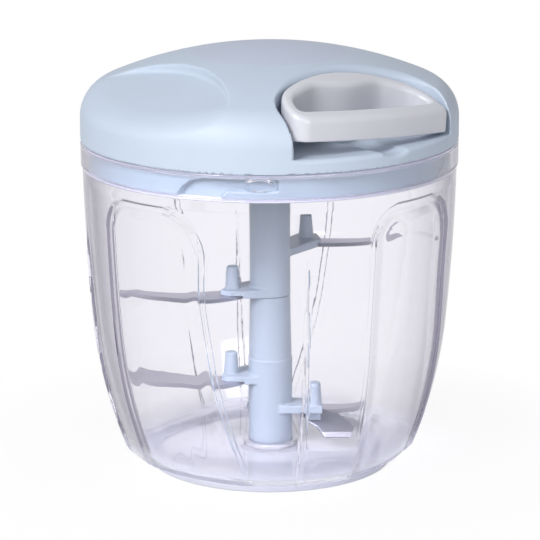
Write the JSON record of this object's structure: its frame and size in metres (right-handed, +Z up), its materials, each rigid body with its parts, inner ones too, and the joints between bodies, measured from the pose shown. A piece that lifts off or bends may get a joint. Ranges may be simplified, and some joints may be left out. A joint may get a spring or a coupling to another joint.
{
  "type": "pull-string food chopper",
  "caption": "Clear bowl with a domed lid; pulling a handle on a cord spins a column of curved blades through the food.",
  "frame": {"origin": "on the table under the bowl's centre", "axes": "+Z up along the blade column; -Y is the front as seen in the picture; the handle is pulled out toward +X and -Y"},
  "size_m": [0.1302, 0.1302, 0.1468],
  "materials": {
    "clear_bowl": "clear",
    "soft_foot": "milky",
    "soft_seal": "milky",
    "lid_blue": "fine matte",
    "skirt_blue": "satin",
    "holder_blue": "satin",
    "handle_grey": "satin",
    "inner_white": "moulded",
    "cord_white": "braided",
    "blade_steel": "satin",
    "spring_steel": "rolled",
    "pin_steel": "turned"
  },
  "bodies": {
    "bowl": {"bowl": "clear_bowl", "foot_ring": "soft_foot", "pivot_pin": "pin_steel"},
    "seal": {"lid_seal": "soft_seal"},
    "lid": {"lid_cover": "lid_blue", "lid_base": "skirt_blue", "hub_seal": "soft_seal", "cover_screws": "pin_steel", "spring_case": "inner_white", "spring_cap": "inner_white", "case_screws": "pin_steel", "mainspring": "spring_steel", "spool_axle": "pin_steel", "axle_washers": "pin_steel", "axle_screw": "pin_steel", "cord_guide": "pin_steel", "cord_lead": "cord_white"},
    "handle": {"handle": "handle_grey", "handle_plug": "handle_grey", "cord_knot": "cord_white"},
    "spool": {"spool": "inner_white", "drive_socket": "inner_white", "cord_winding": "cord_white"},
    "blades": {"holder_lower": "holder_blue", "holder_upper": "holder_blue", "shaft_bush": "inner_white", "blade_1": "blade_steel", "blade_2": "blade_steel", "blade_3": "blade_steel", "blade_4": "blade_steel", "blade_5": "blade_steel"}
  },
  "joints": [
    {"name": "lid_turn", "type": "hinge", "parent": "bowl", "child": "seal", "pos_m": [0, 0, 0.11], "axis": [0, 0, 1], "range_deg": [0, 18.5]},
    {"name": "lid_lift", "type": "slide", "parent": "seal", "child": "lid", "axis": [0, 0, 1], "range_m": [0, 0.13]},
    {"name": "handle_pull", "type": "slide", "parent": "lid", "child": "handle", "axis": [0.6225, -0.7826, 0], "range_m": [0, 0.35], "stiffness_N_per_m": 14.3, "springref_m": -0.21, "deforming": ["cord_lead"]},
    {"name": "spool_spin", "type": "hinge", "parent": "lid", "child": "spool", "pos_m": [0, 0, 0.13], "axis": [0, 0, 1], "range_deg": [0, 1300]},
    {"name": "blade_spin", "type": "hinge", "parent": "seal", "child": "blades", "pos_m": [0, 0, 0.02], "axis": [0, 0, 1], "range_deg": [0, 1300]}
  ],
  "couplings": [
    {"joint": "spool_spin", "follows": "handle_pull", "rad_per_m": 64.516},
    {"joint": "blade_spin", "follows": "handle_pull", "rad_per_m": 64.516}
  ]
}
